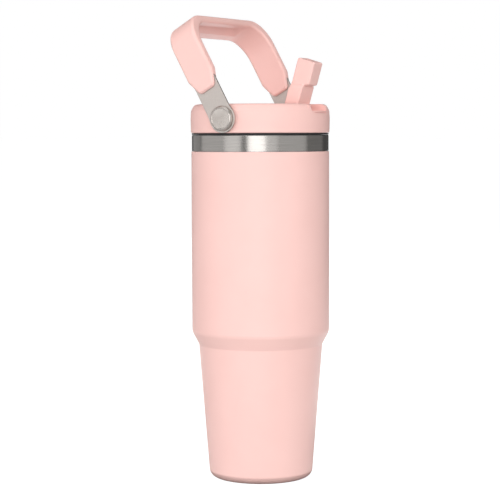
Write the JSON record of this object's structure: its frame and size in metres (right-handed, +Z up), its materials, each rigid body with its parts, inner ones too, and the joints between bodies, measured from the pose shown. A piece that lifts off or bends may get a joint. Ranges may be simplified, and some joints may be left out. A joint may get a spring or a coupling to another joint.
{
  "type": "insulated tumbler with lid",
  "caption": "Double-walled steel tumbler with a narrow foot, a screw lid, a flip-up straw spout and a swinging carry handle over the top.",
  "frame": {"origin": "middle of the base, on the surface that the tumbler stands on", "axes": "+Z up along the vessel, -Y towards the front where the spout is, X along the axis that the handle swings about"},
  "size_m": [0.0992, 0.0908, 0.3017],
  "materials": {
    "pink_coat": "satin",
    "pink_plastic": "satin",
    "pink_grip": "satin",
    "brushed_steel": "brushed",
    "matt_steel": "fine brushed",
    "screw_steel": "turned",
    "white_insert": "satin",
    "dark_silicone": "matte",
    "clear_straw": "glossy"
  },
  "bodies": {
    "vessel": {"outer_shell": "pink_coat", "neck_ring": "brushed_steel", "inner_liner": "brushed_steel", "base_plate": "brushed_steel", "getter_disc": "screw_steel"},
    "lid_carrier": {"lid_seal": "dark_silicone"},
    "lid": {"lid_cover": "pink_plastic", "lid_plug": "white_insert", "spout_pin_left": "screw_steel", "spout_pin_right": "screw_steel", "spout_seat": "dark_silicone", "straw_socket": "white_insert", "socket_ring": "dark_silicone", "straw": "clear_straw", "vent_valve": "dark_silicone", "pivot_screw_left": "screw_steel", "pivot_screw_right": "screw_steel", "pivot_washer_left": "white_insert", "pivot_washer_right": "white_insert", "pivot_cap_left": "matt_steel", "pivot_cap_right": "matt_steel"},
    "spout": {"spout": "pink_plastic"},
    "handle": {"handle_arm_left": "matt_steel", "handle_arm_right": "matt_steel", "grip_outer": "pink_grip", "grip_inner": "pink_grip"}
  },
  "joints": [
    {"name": "lid_lift", "type": "slide", "parent": "vessel", "child": "lid_carrier", "axis": [0, 0, 1], "range_m": [0, 0.235]},
    {"name": "lid_turn", "type": "hinge", "parent": "lid_carrier", "child": "lid", "pos_m": [0, 0, 0.225], "axis": [0, 0, 1], "range_deg": [0, 360]},
    {"name": "spout_flip", "type": "hinge", "parent": "lid", "child": "spout", "pos_m": [0, -0.0265, 0.238], "axis": [1, 0, 0], "range_deg": [-106.5, 0]},
    {"name": "handle_swing", "type": "hinge", "parent": "lid", "child": "handle", "pos_m": [0, 0, 0.2354], "axis": [1, 0, 0], "range_deg": [-92, 150]}
  ]
}
